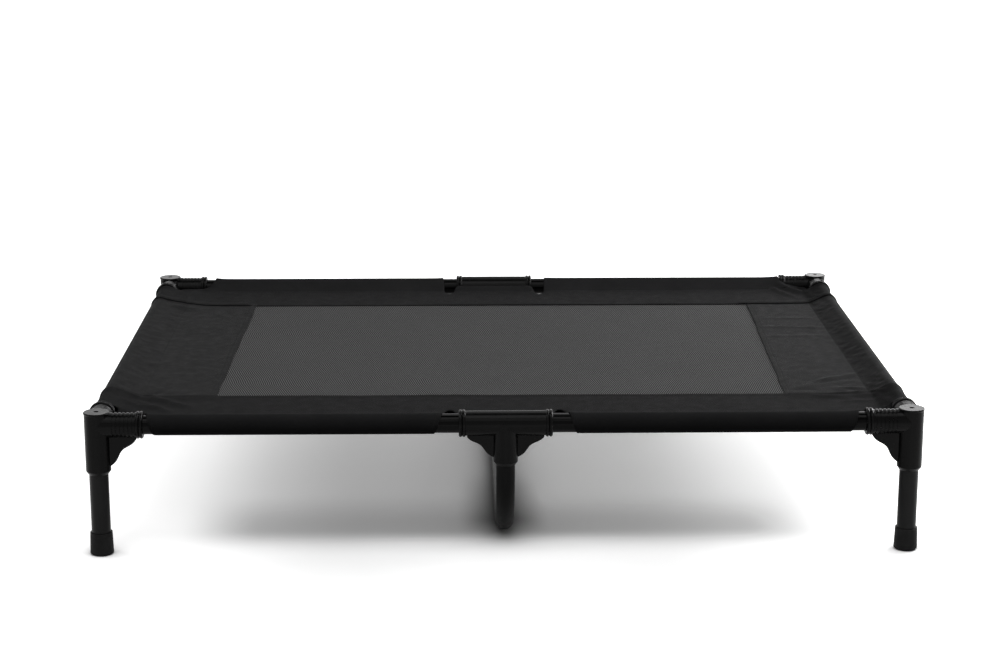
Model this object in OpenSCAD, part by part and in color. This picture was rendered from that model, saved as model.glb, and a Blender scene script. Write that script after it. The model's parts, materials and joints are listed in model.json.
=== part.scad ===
// Raised pet cot. A knock-down frame of round tubes in moulded corner and tee connectors
// carries a sewn cover: a woven mesh panel inside a cloth border whose sleeves go round the rails.
// Four legs push into the corners, and a bent centre support pushes into the tees.
// Millimetres, +Z up, +X along the length, floor at Z = 0, origin on the floor under the centre.

/* [Frame] */
// Distance between the leg axes along the length
leg_span_x = 1180; // [800:1:1400]
// Distance between the leg axes across the width
leg_span_y = 880; // [650:1:1000]
// Height of the rail axes above the floor
rail_height = 195; // [180:1:260]
// Outer diameter of every tube
tube_d = 28; // [24:0.5:32]
// Wall of every tube
tube_wall = 1.2; // [0.8:0.1:2]
// Radial clearance of a tube in its socket
tube_fit = 0.2; // [0.1:0.05:0.3]
// Clearance between the end of a tube and the stop in its socket
end_play = 0.3; // [0.1:0.1:1]

/* [Sockets] */
// Wall of a socket round its tube
socket_wall = 4; // [3:0.1:6]
// Thickness of the stop that a tube meets at the bottom of its socket
stop_wall = 5; // [3:0.5:8]
// How far the collar at a socket's mouth stands proud
collar_lip = 1.9; // [1:0.1:4]
// Width of the collar, which is two round beads
collar_w = 10; // [6:0.5:14]
// Height of the chamfer round the mouth of a leg socket
mouth_chamfer_h = 5; // [2:0.5:8]
// Thickness of the webs under the sockets
gusset_t = 9; // [5:0.5:14]

/* [Corner connectors] */
// From the leg axis to the mouth of a side rail's socket
corner_reach_x = 67; // [62:1:90]
// From the leg axis to the mouth of an end rail's socket
corner_reach_y = 58; // [50:1:90]
// From the rail axes down to the mouth of the leg socket
corner_drop = 73; // [66:1:100]
// From the rail axes down to the lower end of the web
corner_gusset_drop = 61; // [50:1:66]
// How deep the hollow in the edge of the web is
corner_gusset_dip = 3.5; // [0:0.1:5]
// Distance from one groove to the next
groove_pitch = 5.9; // [4:0.1:6.5]
// Width of a groove
groove_w = 2.4; // [1:0.1:3.5]
// Depth of a groove
groove_depth = 1.3; // [0.5:0.1:2]
// Thickness of the cap on top of a corner
cap_t = 3.2; // [2:0.1:6]
// How far the cap stands out past the leg socket
cap_lip = 0.8; // [0.2:0.1:3]
// Diameter of the hole down through the cap
cap_hole_d = 7; // [3:0.5:10]

/* [Tee connectors] */
// Length of the sleeve along the rail
tee_length = 136; // [110:1:180]
// From the rail axis down to the mouth of the support's socket
tee_drop = 62; // [54:1:80]
// From the rail axis down to the lower end of the webs
tee_gusset_drop = 50; // [36:1:52]
// How deep the hollow in the edge of a web is
tee_gusset_dip = 2.7; // [0:0.1:4]
// Bare sleeve between a collar and the start of a web
tee_gusset_in = 2; // [0:0.5:8]

/* [Legs and centre support] */
// Height of a rubber foot
foot_h = 33; // [20:1:45]
// Outer radius of a foot at its rim
foot_rim_r = 16.2; // [15.6:0.1:20]
// Outer radius of a foot just above its base
foot_base_r = 17.2; // [16:0.1:24]
// Thickness of the sole of a foot
foot_sole = 5; // [3:0.5:10]
// Bevel round the base of a foot
foot_bevel = 2; // [0.5:0.5:3]
// Radial clearance of a leg in its foot
foot_fit = 0.1; // [0:0.05:0.2]
// Bend radius of the centre support, at the middle of the tube
bend_r = 115; // [60:1:115]

/* [Cover] */
// Thickness of the cloth and of the mesh
cloth_t = 1.4; // [0.8:0.1:2.5]
// Gap between a rail and the sleeve round it
sleeve_gap = 0.3; // [0.2:0.1:1]
// From a rail's axis in to the stitched edge of its sleeve
stitch_in = 40; // [30:1:60]
// From the end rails' axes in to the mesh
end_border_w = 160; // [100:1:220]
// From the side rails' axes in to the mesh
side_border_w = 148; // [100:1:200]
// Bare side rail between a corner collar and the sleeve
corner_gap_x = 11; // [4:1:20]
// Bare end rail between a corner collar and the sleeve
corner_gap_y = 5; // [3:1:20]
// Bare side rail between a tee collar and the sleeve
tee_gap = 27; // [10:1:40]
// Gap between the cut corners of the cloth and the collars
cut_gap = 3; // [2:0.5:8]

/* [Hidden] */
$fn = 64;
EPS = 0.01;
// Number of steps along the curved edge of a web
GUSSET_STEPS = 24;
// Where along the edge of a web its hollow is deepest, as a part of its length from the rail
CORNER_HOLLOW = 0.47;
TEE_HOLLOW = 0.45;
TUBE_COLOUR = [0.07, 0.07, 0.075];
PLASTIC_COLOUR = [0.10, 0.10, 0.105];
RUBBER_COLOUR = [0.09, 0.09, 0.09];
CLOTH_COLOUR = [0.17, 0.17, 0.175];
MESH_COLOUR = [0.29, 0.29, 0.30];

tube_r = tube_d / 2;
bore_r = tube_r + tube_fit;
socket_r = bore_r + socket_wall;
collar_r = socket_r + collar_lip;
bead_r = collar_w / 4;
cap_r = socket_r + cap_lip;
// Distance from the axis that a blind socket ends at, so that crossing sockets keep a wall between them
stop_at = bore_r + stop_wall;
// The cap is level with the tops of the collars
cap_top = collar_r;
mouth_chamfer_w = socket_wall - 0.5;
half_x = leg_span_x / 2;
half_y = leg_span_y / 2;
leg_top = rail_height - stop_at - end_play;
tee_half = tee_length / 2;
tee_stop = stop_wall / 2;
sleeve_in_r = tube_r + sleeve_gap;
sleeve_out_r = sleeve_in_r + cloth_t;
// The inside of a sleeve closes short of its stitched edge by what keeps its wall even
sleeve_in_tip = stitch_in * sleeve_in_r / sleeve_out_r;
mesh_x = half_x - end_border_w;
mesh_y = half_y - side_border_w;
// Where the sleeves end, measured from the centre of the cot
sleeve_end_x = half_x - corner_reach_x - corner_gap_x;
sleeve_end_y = half_y - corner_reach_y - corner_gap_y;
sleeve_start_x = tee_half + tee_gap;
// The cut corners follow the two sockets at this distance from their axes
cut_in = collar_r + cut_gap;

// Helpers

// Turns something that points along +Z so that it points along +X
module along_x() {
    rotate([0, 90, 0]) children();
}

// Turns something that points along +Z so that it points along +Y
module along_y() {
    rotate([-90, 0, 0]) children();
}

// Moves a front-left piece to the corner on side sx (-1 left, 1 right) and side sy (-1 front, 1 rear)
module at_corner(sx, sy) {
    mirror([sx > 0 ? 1 : 0, 0, 0])
        mirror([0, sy > 0 ? 1 : 0, 0])
            translate([-half_x, -half_y, 0]) children();
}

// Flips a left or front piece to the other side
module to_side(s, axis) {
    mirror(s > 0 ? axis : [0, 0, 0]) children();
}

module tube_section() {
    difference() {
        circle(tube_r);
        circle(tube_r - tube_wall);
    }
}

module tube(length) {
    linear_extrude(length) tube_section();
}

// Number of grip grooves that a rail socket has room for
function groove_count(reach) = floor((reach - collar_w - socket_r) / groove_pitch);

// Points along a web's edge from a to b: a line that is hollow in the middle by dip and full towards its ends
function ogee(a, b, dip, hollow) =
    let (along = b - a, inward = [along[1], -along[0]] / norm(along))
    [for (i = [0 : GUSSET_STEPS])
        let (t = i / GUSSET_STEPS)
        a + t * along + inward * dip * sin(180 * t) * cos(360 * (t - hollow))];

// Connectors

// Outline of a rail socket, radius across and length up: grooves, then a collar of two beads at the mouth
module socket_outline(length, grooves) {
    difference() {
        union() {
            square([socket_r, length]);
            for (i = [0, 1])
                translate([collar_r - bead_r, length - bead_r * (1 + 2 * i)]) circle(bead_r);
        }
        for (i = [0 : 1 : grooves - 1])
            translate([socket_r - groove_depth, length - collar_w - groove_pitch * (i + 0.5) - groove_w / 2])
                square([groove_depth + bead_r, groove_w]);
    }
}

module socket_body(length, grooves) {
    rotate_extrude() socket_outline(length, grooves);
}

// Upright socket with a chamfered mouth, from drop below the rail axis up to top
module leg_socket_body(drop, top) {
    rotate_extrude()
        polygon([
            [0, -drop],
            [socket_r - mouth_chamfer_w, -drop],
            [socket_r, -drop + mouth_chamfer_h],
            [socket_r, top],
            [0, top]
        ]);
}

// Web in the XZ plane between a rail socket along +X and an upright socket below
module gusset(start, drop, dip, hollow) {
    edge_start = [start, -collar_r];
    edge_end = [socket_r, -drop];
    rotate([90, 0, 0])
        linear_extrude(gusset_t, center = true)
            polygon(concat(
                [[0, -drop], [0, -bore_r], [start, -bore_r]],
                ogee(edge_start, edge_end, dip, hollow)
            ));
}

module corner_cap() {
    edge_r = cap_t / 2;
    translate([0, 0, cap_top - cap_t])
        rotate_extrude() {
            square([cap_r - edge_r, cap_t]);
            translate([cap_r - edge_r, edge_r]) circle(edge_r);
        }
}

// One rail socket and its web, along +X
module corner_arm(reach) {
    along_x() socket_body(reach, groove_count(reach));
    gusset(reach - collar_w, corner_gusset_drop, corner_gusset_dip, CORNER_HOLLOW);
}

// Front-left corner: leg axis on Z, rail axes at Z = 0 along +X and +Y
module corner_shape() {
    difference() {
        union() {
            leg_socket_body(corner_drop, cap_top - cap_t / 2);
            corner_cap();
            corner_arm(corner_reach_x);
            mirror([1, -1, 0]) corner_arm(corner_reach_y);
        }
        translate([0, 0, -corner_drop - EPS])
            cylinder(r = bore_r, h = corner_drop - stop_at + EPS);
        along_x() translate([0, 0, stop_at]) cylinder(r = bore_r, h = corner_reach_x);
        along_y() translate([0, 0, stop_at]) cylinder(r = bore_r, h = corner_reach_y);
        translate([0, 0, -stop_at - EPS])
            cylinder(d = cap_hole_d, h = stop_at + cap_top + 1);
    }
}

module corner(sx, sy) {
    color(PLASTIC_COLOUR)
        at_corner(sx, sy) translate([0, 0, rail_height]) corner_shape();
}

// One half of a tee's sleeve and its web, along +X
module tee_arm() {
    along_x() socket_body(tee_half, 0);
    gusset(tee_half - collar_w - tee_gusset_in, tee_gusset_drop, tee_gusset_dip, TEE_HOLLOW);
}

module tee(sy) {
    color(PLASTIC_COLOUR)
        translate([0, sy * half_y, rail_height])
            difference() {
                union() {
                    tee_arm();
                    mirror([1, 0, 0]) tee_arm();
                    leg_socket_body(tee_drop, 0);
                }
                for (s = [0, 180])
                    rotate([0, 0, s]) along_x() translate([0, 0, tee_stop]) cylinder(r = bore_r, h = tee_half);
                translate([0, 0, -tee_drop - EPS])
                    cylinder(r = bore_r, h = tee_drop - stop_at + EPS);
            }
}

// Tubes

// Half of a long rail, from its corner to the tee
module long_rail(sx, sy) {
    start = half_x - stop_at - end_play;
    color(TUBE_COLOUR)
        to_side(sx, [1, 0, 0])
            translate([-start, sy * half_y, rail_height])
                along_x() tube(start - tee_stop - end_play);
}

module end_rail(sx) {
    start = half_y - stop_at - end_play;
    color(TUBE_COLOUR)
        translate([sx * half_x, -start, rail_height])
            along_y() tube(2 * start);
}

module leg(sx, sy) {
    color(TUBE_COLOUR)
        at_corner(sx, sy) translate([0, 0, foot_sole]) tube(leg_top - foot_sole);
}

// One tube bent to a U: it stands on the floor and its ends go up into the two tees
module centre_support() {
    run = half_y - bend_r;
    color(TUBE_COLOUR) {
        translate([0, -run, tube_r]) along_y() tube(2 * run);
        for (s = [-1, 1]) to_side(s, [0, 1, 0]) {
            translate([0, -run, tube_r + bend_r])
                rotate([0, 90, 0])
                    rotate([0, 0, -90]) rotate_extrude(angle = 90) translate([bend_r, 0]) tube_section();
            translate([0, -half_y, tube_r + bend_r]) tube(leg_top - tube_r - bend_r);
        }
    }
}

// Feet

module foot(sx, sy) {
    foot_bore_r = tube_r + foot_fit;
    color(RUBBER_COLOUR)
        at_corner(sx, sy)
            rotate_extrude()
                polygon([
                    [0, 0],
                    [foot_base_r - foot_bevel, 0],
                    [foot_base_r, foot_bevel],
                    [foot_rim_r, foot_h],
                    [foot_bore_r, foot_h],
                    [foot_bore_r, foot_sole],
                    [0, foot_sole]
                ]);
}

// Cover

// A circle drawn out to a point on +X
module teardrop(r, tip) {
    touch = [r * r / tip, r * sqrt(1 - pow(r / tip, 2))];
    circle(r);
    polygon([touch, [tip, 0], [touch[0], -touch[1]], [0, 0]]);
}

// Section across a rail's sleeve, closed to a stitched edge on +X
module sleeve_section() {
    difference() {
        teardrop(sleeve_out_r, stitch_in);
        teardrop(sleeve_in_r, sleeve_in_tip);
    }
}

// Sleeve along +Y that is stitched on its +X side
module sleeve_along_y(length) {
    translate([0, length, 0]) rotate([90, 0, 0]) linear_extrude(length) sleeve_section();
}

// Sleeve along +X that is stitched on its +Y side
module sleeve_along_x(length) {
    mirror([1, -1, 0]) sleeve_along_y(length);
}

// Border at an end of the cot: its sleeve goes round the end rail, and the mesh is sewn to its inner edge
module end_panel(sx) {
    color(CLOTH_COLOUR)
        to_side(sx, [1, 0, 0])
            translate([-half_x, -mesh_y, rail_height])
                union() {
                    sleeve_along_y(2 * mesh_y);
                    translate([sleeve_in_tip, 0, -cloth_t / 2])
                        cube([end_border_w - sleeve_in_tip, 2 * mesh_y, cloth_t]);
                }
}

// Left half of the flat cloth of a long border, with its corner cut to follow the connector
module side_border_flat() {
    outer_x = -half_x + sleeve_in_tip;
    outer_y = -half_y + sleeve_in_tip;
    corner_x = -half_x + cut_in;
    corner_y = -half_y + cut_in;
    linear_extrude(cloth_t, center = true)
        polygon([
            [0, outer_y],
            [-sleeve_end_x, outer_y],
            [-sleeve_end_x, corner_y],
            [outer_x, corner_y],
            [corner_x, outer_y],
            [corner_x, -sleeve_end_y],
            [outer_x, -sleeve_end_y],
            [outer_x, -mesh_y],
            [0, -mesh_y]
        ]);
}

// Border along a long side: two sleeves on the rail, clear of the tee, and one round each end rail
module side_border(sy) {
    color(CLOTH_COLOUR)
        to_side(sy, [0, 1, 0])
            translate([0, 0, rail_height])
                union() {
                    for (s = [-1, 1]) to_side(s, [1, 0, 0]) {
                        side_border_flat();
                        translate([-sleeve_end_x, -half_y, 0])
                            sleeve_along_x(sleeve_end_x - sleeve_start_x);
                        translate([-half_x, -sleeve_end_y, 0])
                            sleeve_along_y(sleeve_end_y - mesh_y);
                    }
                }
}

module mesh_panel() {
    color(MESH_COLOUR)
        translate([0, 0, rail_height])
            cube([2 * mesh_x, 2 * mesh_y, cloth_t], center = true);
}

mesh_panel();
end_panel(-1);  // end_panel_left
end_panel(1);  // end_panel_right
side_border(-1);  // side_border_front
side_border(1);  // side_border_rear
corner(-1, -1);  // corner_front_left
corner(1, -1);  // corner_front_right
corner(-1, 1);  // corner_rear_left
corner(1, 1);  // corner_rear_right
tee(-1);  // tee_front
tee(1);  // tee_rear
long_rail(-1, -1);  // rail_front_left
long_rail(1, -1);  // rail_front_right
long_rail(-1, 1);  // rail_rear_left
long_rail(1, 1);  // rail_rear_right
end_rail(-1);  // rail_end_left
end_rail(1);  // rail_end_right
leg(-1, -1);  // leg_front_left
leg(1, -1);  // leg_front_right
leg(-1, 1);  // leg_rear_left
leg(1, 1);  // leg_rear_right
foot(-1, -1);  // foot_front_left
foot(1, -1);  // foot_front_right
foot(-1, 1);  // foot_rear_left
foot(1, 1);  // foot_rear_right
centre_support();
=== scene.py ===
"""Raised dog cot: the sewn cover, the materials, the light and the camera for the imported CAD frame.

Metres, in the CAD frame: +X along the length, +Y to the rear, +Z up, floor at Z = 0.
Tubes, connectors and feet are the CAD nodes with better materials. The cover's five CAD solids are
replaced by sewn sheets: a border along each long side, a panel at each end and the mesh between them.
"""
import json
import math

import bpy
import numpy as np
from mathutils import Matrix, Vector
from mathutils.geometry import delaunay_2d_cdt


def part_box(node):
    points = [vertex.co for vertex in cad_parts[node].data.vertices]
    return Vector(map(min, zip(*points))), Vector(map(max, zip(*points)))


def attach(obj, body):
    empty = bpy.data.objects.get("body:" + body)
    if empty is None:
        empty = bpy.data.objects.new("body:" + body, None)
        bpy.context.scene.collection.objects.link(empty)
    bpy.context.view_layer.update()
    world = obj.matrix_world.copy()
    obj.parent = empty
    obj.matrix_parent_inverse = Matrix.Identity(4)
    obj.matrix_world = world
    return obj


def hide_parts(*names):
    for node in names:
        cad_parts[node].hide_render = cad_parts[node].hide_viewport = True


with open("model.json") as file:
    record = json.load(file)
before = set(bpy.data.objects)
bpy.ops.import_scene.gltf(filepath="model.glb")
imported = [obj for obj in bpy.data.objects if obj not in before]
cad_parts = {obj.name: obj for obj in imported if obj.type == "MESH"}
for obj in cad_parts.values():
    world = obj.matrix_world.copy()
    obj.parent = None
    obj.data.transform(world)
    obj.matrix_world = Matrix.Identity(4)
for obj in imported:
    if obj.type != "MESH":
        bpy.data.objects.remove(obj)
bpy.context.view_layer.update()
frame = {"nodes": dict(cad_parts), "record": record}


def middle(node):
    """Middle of a CAD node's box."""
    low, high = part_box(node)
    return (low + high) / 2


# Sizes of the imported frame
HALF_X = middle("rail_end_right").x
HALF_Y = middle("rail_rear_left").y
RAIL_Z = middle("rail_end_right").z
TUBE_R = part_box("rail_end_right")[1].z - RAIL_Z
COLLAR_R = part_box("tee_front")[1].z - RAIL_Z
TEE_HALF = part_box("tee_front")[1].x
CORNER_REACH_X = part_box("corner_front_left")[1].x + HALF_X
CORNER_REACH_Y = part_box("corner_front_left")[1].y + HALF_Y
MESH_X, MESH_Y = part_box("mesh_panel")[1].xy

# Sizes of the cover
CLOTH_T = 0.0012
# Step from one layer of a seam to the next
LAYER = 0.0013
# From a rail's axis in to the stitch line of its sleeve
STITCH_IN = 0.040
# Middle of the cloth where it goes round a tube
WRAP_R = TUBE_R + 0.0003 + CLOTH_T / 2
# Cloth under the neighbouring sheet in a seam
LAP = 0.013
# Width of a turned hem, and its stitch rows from the edge
HEM = 0.011
STITCH_ROWS = (0.0028, 0.0085)
# Gap along a rail between a collar and the sleeve, at the top of the tube: for the long rails
# by side (-1 front, 1 rear) and end (-1 left, 1 right), and for the end rails
GAPS_X = {(-1, -1): 0.0035, (-1, 1): 0.0095, (1, -1): 0.016, (1, 1): 0.002}
GAP_Y = 0.002
# How much further back the end of a sleeve is at the bottom of the tube
SLANT = 0.0125
# From the middle of the tee to the sleeves beside it, at the top of the tube
TEE_CLEAR = TEE_HALF + 0.0235
# Arches in the cloth beside the tee: their two sides, and their depth in from the stitch line
ARCH_IN = TEE_HALF + 0.004
ARCH_OUT = TEE_HALF + 0.022
ARCH_DEPTH = 0.0235
# Between the arches, the cloth reaches this near to the rail's axis behind the tee
TONGUE_IN = COLLAR_R + 0.0042
# Behind the arches the lower cloth hangs down in a pocket, which reaches this far in and along the rail
POCKET = 0.008
POCKET_LAP = 0.040
POCKET_S = 0.125
# Length along the rail over which the pocket's depth and lap run out
POCKET_TAPER = 0.02
# From a rail's axis in to the cut edge of the cloth beside a connector
CUT_IN = COLLAR_R + 0.0014
# Beside a connector nothing holds the cloth up, so past the sleeve's end it falls by this share of its
# height
FALL = 0.85
# The fall starts this far before the sleeve's end, and takes these lengths past it: for the long rails
# by side and end, and for the end rails
FALL_EDGE = 0.002
FALLS_X = {(-1, -1): 0.024, (-1, 1): 0.024, (1, -1): 0.024, (1, 1): 0.046}
FALL_Y = 0.024
# From the cut edge to the tube, a long rail's sleeve slants back by this much
FALL_SLANT = 0.010
MESH_SAG = 0.004
# Width over which the cloth bends up at a stitch line
BEND = 0.007
# Width over which a border steps off the end panel's lap
LAP_FADE = 0.014
# Width beside the seams in which the mesh has no full waves
MESH_FADE = 0.03

# Parts of a sleeve's length across the cloth: up the slope, round the tube, and back under it
LEAN = math.acos(WRAP_R / STITCH_IN)
SLOPE = WRAP_R * math.tan(LEAN)
ROUND = 2 * (math.pi - LEAN) * WRAP_R
SLEEVE = 2 * SLOPE + ROUND + LAP
# The pocket deepens over this length before the lower stitch line, and hangs full for this length past it
POCKET_DROP = 0.6 * SLOPE
POCKET_FULL = POCKET_LAP * 0.55
# From the stitch line to the cut edge, along the slope
CUT = (STITCH_IN - CUT_IN) / math.sin(LEAN)
# The cover is sewn slightly askew: the mesh's side seams stand this far right, and at the rear they are
# turned and spread by this much, and the end sleeves' stitch lines stand this far right
SEAM_SHIFT = 0.0046
SEAM_TURN = 0.0074
SEAM_SPREAD = 0.0033
STITCH_SHIFT = 0.006
# Out from a border's own stitch line, the shift of its ends fades between these places
SHIFT_FADE = (-0.03, 0.005)

# Where the flat parts of the cloth end, from the mesh seam for a width and from the centre for a length
SIDE_FLAT = HALF_Y - STITCH_IN - MESH_Y
END_FLAT = HALF_X - STITCH_IN - MESH_X
STITCH_X = HALF_X - STITCH_IN
# Where a long border steps up onto the end panel's lap, along it
LAP_RISE = (MESH_X - 0.002, MESH_X + 0.006)
# Where a long border's sleeves on the end rails end, across it
END_T = HALF_Y - CORNER_REACH_Y - GAP_Y - MESH_Y

# Waves of the pulled cloth and of the mesh, and how a seam of the mesh wanders: height, size and seed
CLOTH_WAVES = ((0.0005, 0.075, 3), (0.00018, 0.022, 4))
MESH_WAVES = (0.0006, 0.09, 5)
SEAM_WANDER = (0.0012, 0.045, 8)
# Gathers: their size along the sleeve, and their height on the long, left and right sleeves
PUCKER_SIZE = 0.0105
LONG_PUCKERS = 0.0005
LEFT_PUCKERS = 0.0006
RIGHT_PUCKERS = 0.0015
# Out from the stitch line, they rise and fade between these places
PUCKER_RISE = (0.001, 0.006)
PUCKER_FADE = (SLOPE * 0.75, SLOPE * 1.15)
# How far they lean aside on their way out, and the size along the sleeve of parts that lean alike
PUCKER_LEAN = 0.25
PUCKER_LEAN_SIZE = 0.06
# Their strength: the mean, how far it varies, and the size of parts with the same strength
PUCKER_MEAN = 0.55
PUCKER_VARIES = 0.45
PUCKER_VARIES_SIZE = 0.05
# Seeds of the gathers on a border's long sleeve, on its end sleeves and on an end panel's sleeve
LONG_SEED = 11
CORNER_SEED = 21
END_SEED = 31
# Height of a hem, the width over which it fades, and the depth and width of the dips along its stitch rows
HEM_HEIGHT = 0.0003
HEM_FADE = 0.003
ROW_DIP = 0.0003
ROW_WIDTH = 0.0012
# Depth and width of the groove along a sleeve's stitch line
GROOVE = 0.0006
GROOVE_WIDTH = 0.0018
# How far the open ends of the sleeves stand off the tube, and how far back along it: at the corners, beside
# the tee and on the end rails
CORNER_FLARE = 0.0022
CORNER_FLARE_REACH = 0.009
TEE_FLARE = 0.0008
TEE_FLARE_REACH = 0.007
END_FLARE = 0.0024
END_FLARE_REACH = 0.007
# Up the slope, the long and the end sleeves start to flare here
FLARE_FROM = SLOPE * 0.3
END_FLARE_FROM = SLOPE * 0.4
# Round the tube, a long sleeve loses this share of its flare between these places
FLARE_LOSS = 0.75
FLARE_FADE = (SLOPE + 0.1 * ROUND, SLOPE + 0.5 * ROUND)
# Painted shade on the slopes of the two end sleeves: how much darker each is, and where the painted shade
# starts and ends
LEFT_PAINTED_SHADE = 0.12
RIGHT_PAINTED_SHADE = 0.45
DARK_RISE = (-0.001, 0.005)
DARK_FADE = (SLOPE, SLOPE + 0.35 * ROUND)


# Shape of the cloth


def ease(low, high, value):
    """0 below low, 1 above high, and smooth between."""
    part = np.clip((value - low) / (high - low), 0, 1)
    return part * part * (3 - 2 * part)


def wrap(out):
    """Section of a sleeve, for points that lie out from its stitch line along the cloth.

    Gives the distance in from the rail's axis, the height over it, and the two parts of the normal.
    """
    turn = LEAN + np.clip((out - SLOPE) / WRAP_R, 0, 2 * (math.pi - LEAN))
    bent = (out + np.hypot(out, BEND)) / 2
    rising = np.clip(SLOPE - bent, 0, SLOPE)
    closing = np.clip(out - SLOPE - ROUND, 0, SLOPE)
    flat = (bent - out) * (1 - ease(0, SLOPE, out)) + np.clip(out - 2 * SLOPE - ROUND, 0, None)
    inward = WRAP_R * np.cos(turn) + (rising + closing) * math.sin(LEAN) + flat
    height = WRAP_R * np.sin(turn) + (closing - rising) * math.cos(LEAN)
    height -= LAYER * ease(0, SLOPE, closing)
    over = out < 0
    under = out > 2 * SLOPE + ROUND
    normal_in = np.where(over | under, 0, np.cos(turn))
    normal_up = np.where(over, 1, np.where(under, -1, np.sin(turn)))
    return inward, height, normal_in, normal_up


# Rows and columns of the random heights that a noise goes through before it repeats
NOISE_CELLS = 128


def noise(x, y, cell, seed):
    """Smooth random heights from -1 to 1, with features about cell across."""
    table = np.random.default_rng(seed).uniform(-1, 1, (NOISE_CELLS, NOISE_CELLS))
    across = x / cell + NOISE_CELLS / 2
    along = y / cell + NOISE_CELLS / 2
    column = np.floor(across).astype(int)
    row = np.floor(along).astype(int)
    u = ease(0, 1, across - column)
    v = ease(0, 1, along - row)

    def at(i, j):
        return table[(column + i) % NOISE_CELLS, (row + j) % NOISE_CELLS]

    near = at(0, 0) * (1 - u) + at(1, 0) * u
    far = at(0, 1) * (1 - u) + at(1, 1) * u
    return near * (1 - v) + far * v


# Creases seen in the cover: x and y of both ends, height and width
CREASES = (
    (0.470, 0.183, 0.533, 0.182, 0.0009, 0.007),
    (0.460, 0.123, 0.535, 0.117, 0.0011, 0.007),
    (0.465, 0.060, 0.534, 0.063, 0.0011, 0.008),
    (0.500, -0.219, 0.542, -0.195, 0.0011, 0.006),
    (0.468, -0.254, 0.536, -0.227, 0.0011, 0.007),
    (0.485, -0.312, 0.531, -0.310, 0.0013, 0.006),
    (0.525, -0.262, 0.548, -0.269, 0.0011, 0.005),
    (0.521, -0.276, 0.549, -0.303, 0.0011, 0.005),
    (0.477, -0.305, 0.520, -0.322, 0.0013, 0.006),
    (0.521, 0.420, 0.550, 0.376, 0.0056, 0.008),
    (0.512, 0.391, 0.531, 0.349, 0.0032, 0.006),
    (-0.532, -0.298, -0.478, -0.343, 0.0024, 0.007),
    (-0.540, -0.330, -0.500, -0.372, 0.0024, 0.006),
    (-0.535, 0.405, -0.552, 0.340, 0.0014, 0.006),
    (-0.470, 0.380, -0.515, 0.402, 0.0013, 0.006),
    (0.455, 0.375, 0.512, 0.398, 0.0013, 0.006),
    (0.528, -0.264, 0.542, -0.264, 0.0010, 0.004),
    (0.519, -0.291, 0.545, -0.291, 0.0012, 0.004),
    (0.520, -0.308, 0.538, -0.308, 0.0010, 0.004),
    (0.485, -0.300, 0.510, -0.301, -0.0012, 0.005),
    (0.522, -0.336, 0.545, -0.334, 0.0014, 0.004),
    (0.447, -0.271, 0.474, -0.271, -0.0008, 0.005),
    (0.472, -0.242, 0.507, -0.211, 0.0012, 0.006),
    (0.507, -0.211, 0.549, -0.187, 0.0010, 0.006),
    (-0.561, -0.302, -0.511, -0.317, 0.0017, 0.005),
    (-0.564, -0.336, -0.517, -0.356, 0.0017, 0.005),
    (-0.542, -0.289, -0.527, -0.275, -0.0014, 0.005),
    (-0.550, 0.270, -0.550, 0.400, 0.0040, 0.032),
)
# Length over which a crease fades past its ends
CREASE_FADE = 0.015


def crease_height(x, y):
    """Sum of the creases' heights at each point."""
    total = np.zeros_like(x)
    for x0, y0, x1, y1, height, width in CREASES:
        length = math.hypot(x1 - x0, y1 - y0)
        along = ((x - x0) * (x1 - x0) + (y - y0) * (y1 - y0)) / length
        across = ((x - x0) * (y1 - y0) - (y - y0) * (x1 - x0)) / length
        beyond = np.maximum(np.abs(along - length / 2) - length / 2, 0)
        total += height * np.exp(-((across / width) ** 2) - (beyond / CREASE_FADE) ** 2)
    return total


def wrinkles(x, y):
    """Height of the pulled cloth's waves and creases over its taut surface."""
    waves = sum(height * noise(x, y, size, seed) for height, size, seed in CLOTH_WAVES)
    return waves + crease_height(x, y)


def puckers(along, out, height, seed):
    """Short gathers across a sleeve's slope, which run from its stitch line."""
    fade = ease(*PUCKER_RISE, out) * (1 - ease(*PUCKER_FADE, out))
    shift = out * PUCKER_LEAN * noise(along, along * 0, PUCKER_LEAN_SIZE, seed + 1)
    strength = PUCKER_MEAN + PUCKER_VARIES * noise(along, out, PUCKER_VARIES_SIZE, seed + 2)
    return height * fade * strength * noise(along + shift, out, PUCKER_SIZE, seed)


def hem_height(edge):
    """Profile of a turned hem: double cloth, drawn down by its two rows of stitches."""
    height = HEM_HEIGHT * (1 - ease(HEM - HEM_FADE, HEM + HEM_FADE, edge))
    for row in STITCH_ROWS:
        height -= ROW_DIP * np.exp(-(((edge - row) / ROW_WIDTH) ** 2))
    return height


def seam_shift(side, y):
    """How far right of its even place a side seam of the mesh is, at y.

    side runs from -1 at the left to 1 at the right.
    """
    spread = side * SEAM_SPREAD * (1 + y / MESH_Y) / 2
    wander, size, seed = SEAM_WANDER
    return SEAM_SHIFT + SEAM_TURN * y / MESH_Y + spread + wander * noise(y, y * 0, size, seed)


def stitch_shift(flat_part, out):
    """How far right of its even place an end sleeve is: most at its stitch line, none on the tube."""
    return STITCH_SHIFT * flat_part * (1 - np.clip(out / SLOPE, 0, 1))


def sleeve_painted_shade(side, out):
    """Brightness of the cloth on an end sleeve, with painted shade: its slope is darker, and the right one's
    most of all.
    """
    slope = ease(*DARK_RISE, out) * (1 - ease(*DARK_FADE, out))
    return 1 - slope * np.where(side > 0, RIGHT_PAINTED_SHADE, LEFT_PAINTED_SHADE)


def stitch_dip(out):
    """Groove where a sleeve's stitch line draws the cloth down."""
    return -GROOVE * np.exp(-((out / GROOVE_WIDTH) ** 2))


def end_s(side, end):
    """Where a long border's sleeve ends at the top of the tube, along the border from the centre."""
    return HALF_X - CORNER_REACH_X - GAPS_X[side, end]


def ends_s(side, s):
    """The same for each point, by the half of the border that it is on."""
    return np.where(s > 0, end_s(side, 1), end_s(side, -1))


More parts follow.
